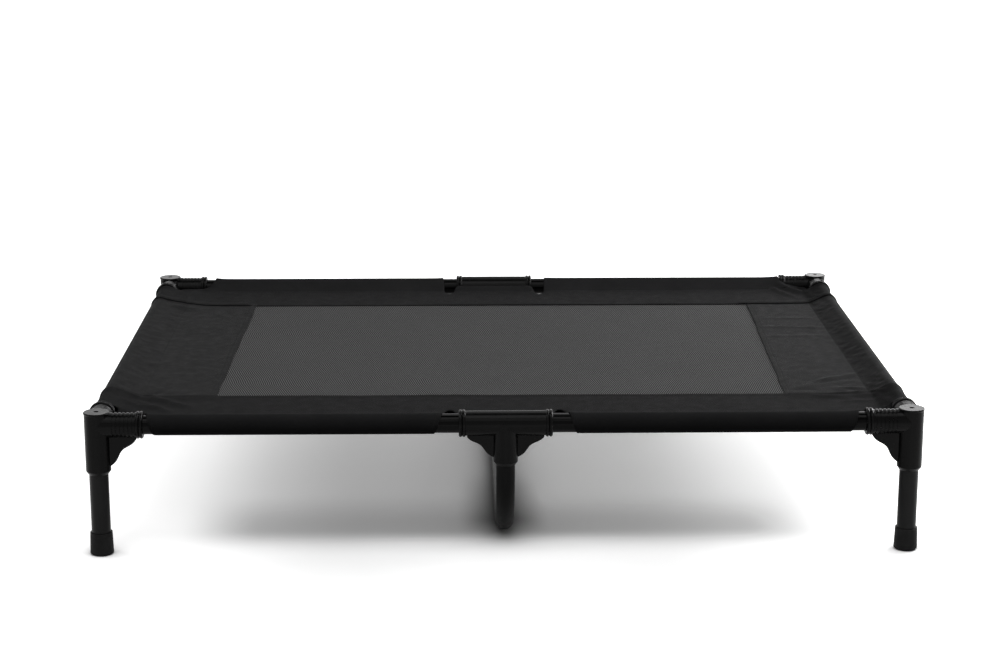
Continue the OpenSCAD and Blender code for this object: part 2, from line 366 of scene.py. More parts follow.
def border_height(side, s, t, up_x, up_y):
    """Height of a long border over the rails' axes, from the heights that its two sleeves give it.

    Past a sleeve's end the cloth falls, and behind the arches the lower cloth hangs in its pocket.
    """
    out_x = np.abs(s) - STITCH_X
    out_y = t - SIDE_FLAT
    rail_s = ends_s(side, s)
    fall_s = rail_s + np.where(s > 0, FALLS_X[side, 1], FALLS_X[side, -1])
    up_x = up_x * (1 - FALL * ease(END_T - FALL_EDGE, END_T + FALL_Y, t) * (out_y < SLOPE))
    up_y = up_y * (1 - FALL * ease(rail_s - FALL_EDGE, fall_s, np.abs(s)) * (out_x < SLOPE))
    both = (up_x > 0) & (up_y > 0)
    height = np.where(both, np.hypot(up_x, up_y), up_x + up_y)
    lower_stitch = 2 * SLOPE + ROUND
    pocket = ease(lower_stitch - POCKET_DROP, lower_stitch, out_y)
    pocket = pocket * (1 - ease(lower_stitch + POCKET_FULL, lower_stitch + POCKET_LAP, out_y))
    return height - POCKET * pocket * (1 - ease(TEE_CLEAR, POCKET_S + POCKET_TAPER, np.abs(s)))


def border_relief(side, s, t, x, y):
    """How far a long border stands off its smooth shape: layers, hem, waves, gathers and flared ends."""
    out_x = np.abs(s) - STITCH_X
    out_y = t - SIDE_FLAT
    on_end = ease(*LAP_RISE, np.abs(s))
    raised = LAYER * on_end * (1 - ease(LAP, LAP + LAP_FADE, t))
    open_cloth = (1 - ease(0, SLOPE, out_x)) * (1 - ease(0, SLOPE, out_y))
    raised = raised + hem_height(t) + open_cloth * wrinkles(x, y)
    raised = raised + stitch_dip(out_x) * (t < END_T) + stitch_dip(out_y) * (np.abs(s) < STITCH_X)
    raised = raised + puckers(s, out_y, LONG_PUCKERS, LONG_SEED + side)
    end_puckers = np.where(s > 0, RIGHT_PUCKERS, LEFT_PUCKERS)
    raised = raised + puckers(side * t + s, out_x, end_puckers, CORNER_SEED + side)
    return raised + sleeve_flare(side, s, t, out_x, out_y)


def place_side(side, s, t, lift=0.0):
    """Points of a long border: s along it from the centre, t across it from the mesh seam.

    side is -1 for the front and 1 for the rear. Gives the points and the cloth's normals.
    """
    end = np.sign(s)
    out_x = np.abs(s) - STITCH_X
    out_y = t - SIDE_FLAT
    in_x, up_x, normal_x, lean_x = wrap(out_x)
    in_y, up_y, normal_y, lean_y = wrap(out_y)
    flat_part = ease(MESH_X, STITCH_X, np.abs(s)) * (1 - ease(*SHIFT_FADE, out_y))
    x = end * (HALF_X - in_x) + stitch_shift(flat_part, out_x)
    y = side * (HALF_Y - in_y)
    normal = np.stack([-end * normal_x, -side * normal_y, lean_x + lean_y - 1], axis=1)
    normal /= np.maximum(np.linalg.norm(normal, axis=1, keepdims=True), 1e-6)
    points = np.stack([x, y, RAIL_Z + border_height(side, s, t, up_x, up_y)], axis=1)
    raised = border_relief(side, s, t, x, y)
    return points + normal * (raised + lift)[:, None], normal


def sleeve_flare(side, s, t, out_x, out_y):
    """The open ends of the sleeves stand off the tube, most of all at its top."""
    at_corner = np.exp(-np.abs(np.abs(s) - ends_s(side, s)) / CORNER_FLARE_REACH)
    at_tee = np.exp(-np.abs(np.abs(s) - TEE_CLEAR) / TEE_FLARE_REACH)
    top = ease(FLARE_FROM, SLOPE, out_y) * (1 - FLARE_LOSS * ease(*FLARE_FADE, out_y))
    on_end_tube = ease(END_FLARE_FROM, SLOPE, out_x)
    end_flare = END_FLARE * on_end_tube * np.exp(-np.abs(t - END_T) / END_FLARE_REACH)
    return top * (CORNER_FLARE * at_corner + TEE_FLARE * at_tee) + end_flare


def place_end(side, u, v, lift=0.0):
    """Points of an end panel: u along Y, v across from the mesh seam. side is -1 left and 1 right."""
    out = v - END_FLAT
    inward, height, normal_in, normal_up = wrap(out)
    flat_part = ease(0, END_FLAT, v)
    x = side * (HALF_X - inward) + seam_shift(side, u) * (1 - flat_part) + stitch_shift(flat_part, out)
    normal = np.stack([-side * normal_in, np.zeros_like(u), normal_up], axis=1)
    open_cloth = 1 - ease(0, SLOPE, out)
    raised = hem_height(v) + open_cloth * wrinkles(x, u) + stitch_dip(out)
    raised = raised + puckers(u, out, RIGHT_PUCKERS if side > 0 else LEFT_PUCKERS, END_SEED + side)
    points = np.stack([x, u, RAIL_Z + height], axis=1)
    return points + normal * (raised + lift)[:, None], normal


def place_mesh(x, y):
    """Points of the mesh panel, a layer below the borders and with a slight sag."""
    sag = MESH_SAG * (1 - (x / MESH_X) ** 2).clip(0) * (1 - (y / MESH_Y) ** 2).clip(0)
    wave, size, seed = MESH_WAVES
    waves = wave * noise(x, y, size, seed)
    from_seams = ease(0, MESH_FADE, MESH_X - np.abs(x)) * ease(0, MESH_FADE, MESH_Y - np.abs(y))
    height = RAIL_Z - LAYER - sag + waves * from_seams
    return np.stack([x + seam_shift(x / MESH_X, y), y, height], axis=1)


# Cut of the cloth


# Radii that round the cut: at the end sleeves' ends, the inner corner, the long sleeves' ends and the tongue
END_ROUND = 0.004
CUT_ROUND = 0.012
LOW_ROUND = 0.003
TONGUE_ROUND = 0.006
# The pocket's edge lies this far inside the arch, and starts this far before the lower stitch line
POCKET_IN = 0.006
POCKET_START = 0.004
# Curve of a sleeve's slanted end: share of the way round the tube, and share of the slant there
SLANT_CURVE = ((0, 0), (0.25, 0.18), (0.5, 0.5), (0.7, 0.85), (0.8, 1))
# Straight lengths that an arch is made of
ARCH_STEPS = 12
# A short distance along an edge, which only gives the edge's direction
NEAR = 0.01


def rounded(corner, before, after, radius, steps=6):
    """Points of a quarter turn that rounds a corner between two neighbouring points."""
    corner, before, after = (np.array(p, float) for p in (corner, before, after))
    towards = (before - corner) / np.linalg.norm(before - corner)
    onward = (after - corner) / np.linalg.norm(after - corner)
    points = []
    for i in range(steps + 1):
        angle = math.pi / 2 * i / steps
        bend = (1 - math.sin(angle)) * towards + (1 - math.cos(angle)) * onward
        points.append(tuple(corner + radius * bend))
    return points


def sleeve_end(s, away):
    """Slanted end of a sleeve from the top of the tube to its bottom, as (s, t) points.

    away is the direction along s that leads back from the opening.
    """
    return [(s + away * SLANT * part, SIDE_FLAT + SLOPE + turn * ROUND) for turn, part in SLANT_CURVE]


def arch():
    """Round cut beside the tee, from the sleeve's end round to the tee, as (s, t) points."""
    middle_s = (ARCH_OUT + ARCH_IN) / 2
    half = (ARCH_OUT - ARCH_IN) / 2
    points = []
    for i in range(ARCH_STEPS + 1):
        angle = math.pi * i / ARCH_STEPS
        points.append((middle_s + half * math.cos(angle), SIDE_FLAT - ARCH_DEPTH * math.sin(angle)))
    return points


def half_outline(side, end):
    """Flat outline of half a long border, as (s, t) points with s > 0.

    It runs from the middle of the mesh seam, round the corner's cut-out, to the tee.
    """
    far_s = STITCH_X + SLEEVE
    far_t = SIDE_FLAT + SLEEVE
    lower_t = SIDE_FLAT + 2 * SLOPE + ROUND
    cut_s = STITCH_X + CUT
    cut_t = SIDE_FLAT + CUT
    rail_s = end_s(side, end)
    points = [(0, 0), (far_s, 0), (far_s, END_T)]
    points += rounded((cut_s, END_T), (cut_s + NEAR, END_T), (cut_s, END_T + NEAR), END_ROUND, 3)
    points += rounded((cut_s, cut_t), (cut_s, cut_t - 2 * NEAR), (cut_s - 2 * NEAR, cut_t), CUT_ROUND)
    low_s = rail_s + FALL_SLANT
    points += rounded((low_s, cut_t), (low_s + NEAR, cut_t), (rail_s, SIDE_FLAT + SLOPE), LOW_ROUND, 3)
    points += sleeve_end(rail_s, -1)
    points += [(rail_s - SLANT, far_t), (POCKET_S + POCKET_TAPER, far_t), (POCKET_S, lower_t + POCKET_LAP)]
    pocket_s = ARCH_IN - POCKET_IN
    pocket_t = lower_t - POCKET_START
    points += [(pocket_s, lower_t + POCKET_LAP), (pocket_s, pocket_t), (TEE_CLEAR + SLANT, pocket_t)]
    points += reversed(sleeve_end(TEE_CLEAR, 1))
    points += arch()
    tongue_t = SIDE_FLAT + (STITCH_IN - TONGUE_IN) / math.sin(LEAN)
    points += rounded((TEE_HALF, tongue_t), (ARCH_IN, SIDE_FLAT), (0, tongue_t), TONGUE_ROUND)
    points += [(0, tongue_t)]
    return points


def side_outline(side):
    """Flat outline of a long border, as (s, t) points round it."""
    mirrored = [(-s, t) for s, t in reversed(half_outline(side, -1)[1:-1])]
    return half_outline(side, 1) + mirrored


def sampled(outline, step):
    """Points along a closed outline no further apart than step."""
    points = []
    for start, stop in zip(outline, outline[1:] + outline[:1]):
        start, stop = np.array(start), np.array(stop)
        count = max(1, math.ceil(np.linalg.norm(stop - start) / step))
        points += [tuple(start + (stop - start) * i / count) for i in range(count)]
    return points


def inside(outline, x, y):
    """True for points inside a closed outline."""
    result = np.zeros(x.shape, bool)
    for (x0, y0), (x1, y1) in zip(outline, outline[1:] + outline[:1]):
        if y0 != y1:
            crosses = (y0 > y) != (y1 > y)
            result ^= crosses & (x < x0 + (y - y0) * (x1 - x0) / (y1 - y0))
    return result


def lines(*spans):
    """Grid lines over a row of spans, each given as (start, stop, step)."""
    values = []
    for start, stop, step in spans:
        count = max(1, round((stop - start) / step))
        values += list(start + (stop - start) * np.arange(count) / count)
    return np.array(values + [spans[-1][1]])


def across_lines(flat):
    """Grid lines across a sheet: fine at the hem and round the tube, coarser on the flat."""
    hem_stop = HEM + 0.004
    bend_start = flat - 0.006
    bend_stop = flat + 0.008
    tube_start = flat + SLOPE
    tube_stop = tube_start + ROUND
    return lines(
        (0, hem_stop, 0.0012),
        (hem_stop, bend_start, 0.006),
        (bend_start, bend_stop, 0.0015),
        (bend_stop, tube_start, 0.0035),
        (tube_start, tube_stop, 0.0026),
        (tube_stop, flat + SLEEVE, 0.007),
    )


def sheet_object(name, points, faces, flat_points, material, shade=None):
    """A cloth sheet with its thickness, and its flat coordinates in metres as the UV map of its weave.

    shade, if given, is painted shade: the brightness of the cloth at each point.
    """
    mesh = bpy.data.meshes.new(name)
    mesh.from_pydata(points.tolist(), [], faces)
    layer = mesh.uv_layers.new(name="Weave")
    corner = np.zeros(len(mesh.loops), np.int32)
    mesh.loops.foreach_get("vertex_index", corner)
    layer.data.foreach_set("uv", np.asarray(flat_points, np.float32)[corner].ravel())
    if shade is not None:
        mesh.attributes.new("PaintedShade", "FLOAT", "POINT").data.foreach_set("value", shade.astype(np.float32))
    mesh.polygons.foreach_set("use_smooth", np.ones(len(mesh.polygons), bool))
    mesh.materials.append(material)
    piece = bpy.data.objects.new(name, mesh)
    bpy.context.scene.collection.objects.link(piece)
    solid = piece.modifiers.new("Cloth thickness", "SOLIDIFY")
    solid.thickness = CLOTH_T
    solid.offset = 0
    solid.use_even_offset = False
    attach(piece, "frame")
    return piece


def grid_faces(rows, columns, flip):
    """Faces of a grid of points, turned over where flip is true."""
    faces = []
    for i in range(rows - 1):
        for j in range(columns - 1):
            a = i * columns + j
            face = (a, a + 1, a + columns + 1, a + columns)
            faces.append(face[::-1] if flip else face)
    return faces


# Step between the points of a border's edge, and how clear of them and of the seam the points inside it stay
RIM_STEP = 0.004
RIM_CLEAR = 0.0018
SEAM_CLEAR = 0.0009
# Steps of the even grids: across a pocket, along an end panel and over the mesh
POCKET_STEP = 0.005
END_STEP = 0.0045
MESH_STEP = 0.008
# For the triangulation: keep what is inside the outline, and join points nearer than this
KEEP_INSIDE = 1
JOIN_WITHIN = 1e-7


def border_grid():
    """Points of a long border's grid, fine where it bends, as values of s and t."""
    bend_start = STITCH_X - 0.02
    tube_start = STITCH_X + SLOPE
    tube_stop = tube_start + ROUND
    far = STITCH_X + SLEEVE
    along = lines(
        (-far, -tube_stop, 0.008),
        (-tube_stop, -tube_start, 0.0028),
        (-tube_start, -bend_start, 0.0035),
        (-bend_start, bend_start, 0.0052),
        (bend_start, tube_start, 0.0035),
        (tube_start, tube_stop, 0.0028),
        (tube_stop, far, 0.008),
    )
    pocket_rows = SIDE_FLAT + SLEEVE + np.arange(POCKET_STEP, POCKET_LAP - LAP, POCKET_STEP)
    across = np.concatenate([across_lines(SIDE_FLAT), pocket_rows])
    return (grid.ravel() for grid in np.meshgrid(along, across))


def cut_sheet(outline):
    """Cuts a grid of cloth to an outline. Gives its flat points and its faces."""
    rim = sampled(outline, RIM_STEP)
    s, t = border_grid()
    keep = inside(outline, s, t) & (t > SEAM_CLEAR)
    s, t = s[keep], t[keep]
    gap = np.full(s.shape, np.inf)
    for x, y in rim:
        gap = np.minimum(gap, (s - x) ** 2 + (t - y) ** 2)
    keep = gap > RIM_CLEAR**2
    flat = rim + list(zip(s[keep].tolist(), t[keep].tolist()))
    edges = [(i, (i + 1) % len(rim)) for i in range(len(rim))]
    corners = [Vector(p) for p in flat]
    verts, _, faces, _, _, _ = delaunay_2d_cdt(corners, edges, [], KEEP_INSIDE, JOIN_WITHIN)
    return np.array([tuple(v) for v in verts]), faces


def make_side_border(side, name, node, material):
    """A long border, -1 at the front and 1 at the rear. Gives it with its flat outline."""
    outline = side_outline(side)
    cut, faces = cut_sheet(outline)
    points, _ = place_side(side, cut[:, 0], cut[:, 1])
    faces = [face if side > 0 else face[::-1] for face in faces]
    # Painted shade on the slopes of the border's end sleeves
    shade = sleeve_painted_shade(np.sign(cut[:, 0]), np.abs(cut[:, 0]) - STITCH_X)
    piece = sheet_object(name, points, faces, cut, material, shade)
    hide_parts(node)
    return piece, outline


def make_end_panel(side, name, node, material):
    """An end panel, -1 at the left and 1 at the right."""
    reach = MESH_Y + LAP
    along = lines((-reach, reach, END_STEP))
    across = across_lines(END_FLAT)
    u, v = (grid.ravel() for grid in np.meshgrid(along, across))
    points, _ = place_end(side, u, v)
    faces = grid_faces(len(across), len(along), side > 0)
    flat = np.stack([v, u], axis=1)
    # The sleeve's slope carries painted shade
    piece = sheet_object(name, points, faces, flat, material, sleeve_painted_shade(side, v - END_FLAT))
    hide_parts(node)
    return piece


def make_mesh_panel(material):
    """The mesh, with its lap under the borders and the end panels."""
    along = lines((-MESH_X - LAP, MESH_X + LAP, MESH_STEP))
    across = lines((-MESH_Y - LAP, MESH_Y + LAP, MESH_STEP))
    x, y = (grid.ravel() for grid in np.meshgrid(along, across))
    faces = grid_faces(len(across), len(along), False)
    flat = np.stack([x, y], axis=1)
    piece = sheet_object("cover_mesh", place_mesh(x, y), faces, flat, material)
    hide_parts("mesh_panel")
    return piece


# Stitching

THREAD_R = 0.00032
THREAD_SIDES = 5
STITCH_PITCH = 0.0042
STITCH_LENGTH = 0.0032
# The thread is full from this share of the length before a stitch's middle to the same after it
STITCH_FULL = 0.3
# Height of the stitches over the middle of the cloth
STITCH_LIFT = CLOTH_T / 2 + THREAD_R * 0.3
# From a sleeve's open end to its row of stitches
END_ROW = 0.007
# The stitch lines of the sleeves start this far from an edge, a long one runs on past the sleeve's end by
# this much, and an end one crosses it by this much
LINE_START = 0.004
LINE_PAST = 0.028
LINE_CROSS = 0.006


def make_stitches(name, rows, material):
    """Short thread stitches along rows of surface points, each a (points, normals) pair."""
    verts, faces = [], []
    for points, normals in rows:
        forward = np.gradient(points, axis=0)
        forward /= np.linalg.norm(forward, axis=1, keepdims=True)
        sideways = np.cross(normals, forward)
        for p, f, n, w in zip(points, forward, normals, sideways):
            first = len(verts)
            verts.append(p - f * STITCH_LENGTH / 2 - n * THREAD_R)
            for reach in (-STITCH_FULL, STITCH_FULL):
                for k in range(THREAD_SIDES):
                    angle = 2 * math.pi * k / THREAD_SIDES
                    ring = math.cos(angle) * w + math.sin(angle) * n
                    verts.append(p + f * reach * STITCH_LENGTH + ring * THREAD_R)
            verts.append(p + f * STITCH_LENGTH / 2 - n * THREAD_R)
            last = len(verts) - 1
            for k in range(THREAD_SIDES):
                a = first + 1 + k
                b = first + 1 + (k + 1) % THREAD_SIDES
                faces.append((first, b, a))
                faces.append((a, b, b + THREAD_SIDES, a + THREAD_SIDES))
                faces.append((last, a + THREAD_SIDES, b + THREAD_SIDES))
    mesh = bpy.data.meshes.new(name)
    mesh.from_pydata([tuple(v) for v in verts], [], faces)
    mesh.polygons.foreach_set("use_smooth", np.ones(len(mesh.polygons), bool))
    mesh.materials.append(material)
    piece = bpy.data.objects.new(name, mesh)
    bpy.context.scene.collection.objects.link(piece)
    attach(piece, "frame")
    return piece


def stitch_places(start, stop):
    """Middles of the stitches of a row."""
    count = max(2, round(abs(stop - start) / STITCH_PITCH))
    return start + (stop - start) * (np.arange(count) + 0.5) / count


def side_stitches(side):
    """Rows of a long border: its seam, its sleeves' stitch lines and the hems beside the tee."""
    rows = []

    def row(s, t):
        s, t = np.broadcast_arrays(np.asarray(s, float), np.asarray(t, float))
        rows.append(place_side(side, s, t, STITCH_LIFT))

    for edge in STITCH_ROWS:
        row(stitch_places(-STITCH_X - SLOPE - ROUND, STITCH_X + SLOPE + ROUND), edge)
    for end in (-1, 1):
        rail_s = end_s(side, end)
        row(end * stitch_places(TEE_CLEAR + LINE_START, rail_s + LINE_PAST), SIDE_FLAT)
        row(end * STITCH_X, stitch_places(LINE_START, SIDE_FLAT + LINE_CROSS))
        row(end * stitch_places(STITCH_X + CUT, STITCH_X + SLOPE + ROUND), END_T - END_ROW)
        for s, away in ((rail_s, -1), (TEE_CLEAR, 1)):
            turns = SIDE_FLAT + SLOPE + stitch_places(0, SLANT_CURVE[-1][0] * ROUND)
            ends = np.array(sleeve_end(s, away))
            row(end * (np.interp(turns, ends[:, 1], ends[:, 0]) + away * END_ROW), turns)
    return rows


def end_stitches(side):
    """Rows of an end panel: its mesh seam and its sleeve's stitch line."""
    along = stitch_places(-MESH_Y, MESH_Y)
    across = (*STITCH_ROWS, END_FLAT)
    return [place_end(side, along, np.full_like(along, v), STITCH_LIFT) for v in across]


# Materials


class Nodes:
    """The node tree of a material or of the world, with short calls that add a node and link it."""

    def __init__(self, owner, shader="Principled BSDF"):
        owner.use_nodes = True
        self.owner = owner
        self.tree = owner.node_tree
        self.shader = self.tree.nodes[shader]

    def add(self, kind, **inputs):
        node = self.tree.nodes.new(kind)
        for key, value in inputs.items():
            self.set(node, key, value)
        return node

    def set(self, node, key, value):
        """Sets a property, or an input by its name or number, to a value or to another node's output."""
        if key.startswith("_"):
            setattr(node, key[1:], value)
            return
        socket = node.inputs[int(key[1:]) if key[1:].isdigit() else key]
        if isinstance(value, bpy.types.NodeSocket):
            self.tree.links.new(value, socket)
        else:
            socket.default_value = value

    def ramp(self, value, *stops):
        """Colours over a value, each stop given as (position, grey level or colour)."""
        node = self.add("ShaderNodeValToRGB", Fac=value)
        elements = node.color_ramp.elements
        while len(elements) < len(stops):
            elements.new(0.5)
        for element, (position, colour) in zip(elements, stops):
            element.position = position
            element.color = (*colour, 1) if hasattr(colour, "__len__") else (colour, colour, colour, 1)
        return node.outputs["Color"]

    def math(self, operation, *values):
        node = self.add("ShaderNodeMath", _operation=operation)
        for i, value in enumerate(values):
            self.set(node, f"i{i}", value)
        return node.outputs[0]

    def smooth(self, value, start, stop, low=0.0, high=1.0):
        """Eases from low to high as the value goes from start to stop."""
        node = self.add("ShaderNodeMapRange", _interpolation_type="SMOOTHSTEP", Value=value)
        for key, number in (("From Min", start), ("From Max", stop), ("To Min", low), ("To Max", high)):
            self.set(node, key, number)
        return node.outputs["Result"]

    def noise(self, vector, scale, detail=2.0, roughness=0.5):
        node = self.add("ShaderNodeTexNoise", Vector=vector, Scale=scale, Detail=detail, Roughness=roughness)
        return node.outputs["Fac"]

    def bump(self, height, strength, distance, under=None):
        node = self.add("ShaderNodeBump", Height=height, Strength=strength, Distance=distance)
        if under is not None:
            self.set(node, "Normal", under)
        return node.outputs["Normal"]

    def finish(self, **inputs):
        for key, value in inputs.items():
            self.set(self.shader, key.replace("_", " "), value)
        return self.owner


def material_nodes(name):
    return Nodes(bpy.data.materials.new(name))


# Pitch of the yarns in the cloth and in the mesh
CLOTH_YARN = 0.0007
MESH_YARN = 0.00055
# Radius of the edges of the moulded plastic
MOULD_EDGE = 0.0007


def object_place(nodes):
    return nodes.add("ShaderNodeTexCoord").outputs["Object"]


def weave_place(nodes):
    return nodes.add("ShaderNodeUVMap", _uv_map="Weave").outputs["UV"]


def weave_height(nodes, place, pitch):
    """Plain weave: yarns that go over and under each other at this pitch."""
    axes = nodes.add("ShaderNodeSeparateXYZ", Vector=place).outputs
    turn = math.pi / pitch
    warp = nodes.math("SINE", nodes.math("MULTIPLY", axes["X"], turn))
    weft = nodes.math("SINE", nodes.math("MULTIPLY", axes["Y"], turn))
    return nodes.math("ABSOLUTE", nodes.math("ADD", warp, weft))


def cloth_material(name, dark, light, smooth, matt, specular):
    """Black woven polyester: fine plain weave, matt, with faint cloudy tone and the painted shade of the
    point attribute.
    """
    nodes = material_nodes(name)
    place = weave_place(nodes)
    cloudy = nodes.ramp(nodes.noise(place, 14.0, 4.0), (0.25, dark), (0.75, light))
    # Painted shade from the point attribute darkens the cloth
    shade = nodes.add("ShaderNodeAttribute", _attribute_name="PaintedShade").outputs["Fac"]
    colour = nodes.add("ShaderNodeVectorMath", _operation="SCALE", i0=cloudy, Scale=shade).outputs["Vector"]
    rough = nodes.ramp(nodes.noise(place, 60.0, 3.0), (0.3, smooth), (0.7, matt))
    weave = nodes.bump(weave_height(nodes, place, CLOTH_YARN), 0.35, 0.0002)
    soft = nodes.bump(nodes.noise(place, 220.0, 3.0), 0.10, 0.0006, weave)
    return nodes.finish(Base_Color=colour, Roughness=rough, Normal=soft, Specular_IOR_Level=specular)


# Size of one yarn crossing of the mesh: across its columns and along them
MESH_CELL = (0.0033, 0.0115)


def mesh_material():
    """Coated-yarn mesh: light yarn crossings between dark gaps of painted shade, each column half a step
    from the next.
    """
    nodes = material_nodes("Grey woven mesh")
    place = weave_place(nodes)
    axes = nodes.add("ShaderNodeSeparateXYZ", Vector=place).outputs
    drift = nodes.math("MULTIPLY", nodes.noise(place, 25.0, 1.0), 5.0)
    waves = []
    for axis, size in zip("XY", MESH_CELL):
        turn = nodes.math("MULTIPLY", axes[axis], 2 * math.pi / size)
        waves.append(nodes.math("SINE", nodes.math("ADD", turn, drift)))
    crossing = nodes.math("MULTIPLY_ADD", nodes.math("MULTIPLY", *waves), 0.5, 0.5)
    worn = nodes.math("MULTIPLY_ADD", nodes.noise(place, 700.0, 1.0), 0.36, -0.18)
    level = nodes.math("ADD", crossing, worn)
    # The darkest colour paints the shade seen through the holes between the yarns
    colour = nodes.ramp(level, (0.10, 0.005), (0.5, 0.034), (0.90, 0.118))
    rough = nodes.ramp(level, (0.2, 0.75), (0.8, 0.55))
    normal = nodes.bump(crossing, 0.5, 0.0005)
    fibres = nodes.bump(weave_height(nodes, place, MESH_YARN), 0.3, 0.0002, normal)
    return nodes.finish(Base_Color=colour, Roughness=rough, Normal=fibres, Specular_IOR_Level=0.008)


def thread_material():
    """Black sewing thread: matt, with a fine twist."""
    nodes = material_nodes("Black sewing thread")
    place = object_place(nodes)
    colour = nodes.ramp(nodes.noise(place, 400.0), (0.3, 0.012), (0.7, 0.020))
    twist = nodes.bump(nodes.noise(place, 2500.0), 0.3, 0.0002)
    return nodes.finish(Base_Color=colour, Roughness=0.75, Normal=twist, Specular_IOR_Level=0.02)


def plastic_material():
    """Black moulded plastic: satin, with a fine moulded grain and slight scuffs."""
    nodes = material_nodes("Black moulded plastic")
    place = object_place(nodes)
    colour = nodes.ramp(nodes.noise(place, 40.0, 4.0), (0.3, 0.0016), (0.75, 0.0030))
    scuffs = nodes.noise(place, 120.0, 6.0, 0.7)
    rough = nodes.ramp(scuffs, (0.35, 0.18), (0.65, 0.28))
    rounded_edges = nodes.add("ShaderNodeBevel", Radius=MOULD_EDGE).outputs["Normal"]
    grain = nodes.bump(nodes.noise(place, 1800.0, 2.0), 0.12, 0.0002, rounded_edges)
    uneven = nodes.bump(nodes.noise(place, 55.0, 2.0), 0.10, 0.0008, grain)
    return nodes.finish(Base_Color=colour, Roughness=rough, Normal=uneven, Specular_IOR_Level=0.06)


def tube_material(name, dark, light, smooth, rough, specular):
    """Black powder coat, with the slight orange peel that it has."""
    nodes = material_nodes(name)
    place = object_place(nodes)
    colour = nodes.ramp(nodes.noise(place, 30.0, 4.0), (0.3, dark), (0.75, light))
    shine = nodes.ramp(nodes.noise(place, 150.0, 4.0), (0.3, smooth), (0.7, rough))
    peel = nodes.bump(nodes.noise(place, 420.0, 2.0), 0.06, 0.0006)
    return nodes.finish(Base_Color=colour, Roughness=shine, Normal=peel, Specular_IOR_Level=specular)


def rubber_material():
    """Black moulded rubber: matt, with a fine dusty bloom."""
    nodes = material_nodes("Black rubber")
    place = object_place(nodes)
    colour = nodes.ramp(nodes.noise(place, 70.0, 5.0), (0.3, 0.0140), (0.75, 0.0215))
    rough = nodes.ramp(nodes.noise(place, 200.0, 3.0), (0.3, 0.52), (0.7, 0.66))
    grain = nodes.bump(nodes.noise(place, 1500.0, 3.0), 0.18, 0.0003)
    return nodes.finish(Base_Color=colour, Roughness=rough, Normal=grain, Specular_IOR_Level=0.06)


# Frame pieces


def dress_frame():
    """Gives the CAD nodes their materials. The glossy rails' dark colour is partly painted shade, the
    support's is painted shade.
    """
    finishes = {
        "coated_tube": tube_material("Black satin powder coat", 0.0060, 0.0088, 0.28, 0.38, 0.085),
        "moulded_plastic": plastic_material(),
        "rubber": rubber_material(),
    }
    own_finishes = {
        # The rails' darker colour partly paints the shade on their short bare lengths; their gloss is their
        # own
        "rail": tube_material("Black gloss powder coat, partly painted shade", 0.0008, 0.0015, 0.05, 0.08, 0.05),
        # The support is the legs' coat darkened with painted shade
        "centre": tube_material("Satin powder coat in painted shade", 0.0030, 0.0046, 0.28, 0.38, 0.05),
    }
    for subpart in frame["record"]["subparts"]:
        node = subpart["node"]
        kind = node.split("_")[0]
        finish = own_finishes.get(kind, finishes.get(subpart["material_slot"]))
        if finish is not None:
            piece = frame["nodes"][node]
            piece.data.materials.clear()
            piece.data.materials.append(finish)


# Cover


def make_cover():
    """Makes the five sheets and their stitches."""
    side_cloth = cloth_material(
        "Black woven cloth", (0.0112, 0.0112, 0.0115), (0.0138, 0.0138, 0.0141), 0.56, 0.68, 0.004,
    )
    # The end panels' cloth is a lighter copy of the borders' cloth: its lighter colour is painted sheen of
    # the weave running the other way
    end_cloth = cloth_material(
        "Black woven cloth turned, with painted sheen", (0.0122, 0.0122, 0.0125), (0.0147, 0.0147, 0.0150), 0.44, 0.56, 0.005,
    )
    thread = thread_material()
    mesh_panel = make_mesh_panel(mesh_material())
    for side, word in ((-1, "left"), (1, "right")):
        panel = make_end_panel(side, f"cover_end_{word}", f"end_panel_{word}", end_cloth)
        stitches = make_stitches(f"stitches_end_{word}", end_stitches(side), thread)
    for side, word in ((-1, "front"), (1, "rear")):
        border, outline = make_side_border(side, f"cover_side_{word}", f"side_border_{word}", side_cloth)
        stitches = make_stitches(f"stitches_side_{word}", side_stitches(side), thread)


# Light, floor and camera


# Half the floor's size, and how far below the feet it lies
FLOOR_HALF = 30.0
FLOOR_DROP = 0.0003
# How pale the floor is to rays that are seen, and to the rest
FLOOR_PALE = 0.80
FLOOR_DIM = 0.22
# Its own light grows from the middle of the shadow outwards, painting the shadow's soft shape. The distance
# counts more along X
GLOW_STRETCH = (3.0, 1.0, 1.0)
GLOW_FROM = 0.6
GLOW_TO = 2.2
GLOW_LEAST = 0.33
# Reach and strength of the painted contact shadow: the darker floor close to the feet and the support
CONTACT_REACH = 0.18
CONTACT_POWER = 3.0
# Zones of painted shadow and painted light, where the floor loses or gains a share of its light: the front
# of the shadow, beside the support, and before the shadow. Each fades in between two values: along Y from
# its back and from its front, and along X from its sides. The last one has no front edge near the cot
FLOOR_ZONES = (
    {"gain": -0.40, "back": (-0.16, -0.34), "front": (-0.43, -0.34), "aside": (0.50, 0.36)},
    {"gain": -0.36, "back": (-0.02, -0.20), "front": (-0.385, -0.29), "aside": (0.075, 0.02)},
    {"gain": 0.27, "back": (-0.35, -0.41), "front": (-4.0, -3.0), "aside": (0.30, 0.0)},
)


def seen_rays(nodes):
    """1 for rays from the camera, in reflections and through clear things, and 0 for the rest."""
    path = nodes.add("ShaderNodeLightPath").outputs
    seen = nodes.math("MAXIMUM", path["Is Camera Ray"], path["Is Glossy Ray"])
    return nodes.math("MAXIMUM", seen, path["Is Transmission Ray"])


def floor_shade(nodes, place):
    """Share of its light that the floor keeps after the zones."""
    axes = nodes.add("ShaderNodeSeparateXYZ", Vector=place).outputs
    aside = nodes.math("ABSOLUTE", axes["X"])
    kept = 1.0
    for zone in FLOOR_ZONES:
        within = nodes.smooth(axes["Y"], *zone["back"])
        for value, reach in ((axes["Y"], zone["front"]), (aside, zone["aside"])):
            within = nodes.math("MULTIPLY", within, nodes.smooth(value, *reach))
        kept = nodes.math("ADD", kept, nodes.math("MULTIPLY", zone["gain"], within))
    return kept


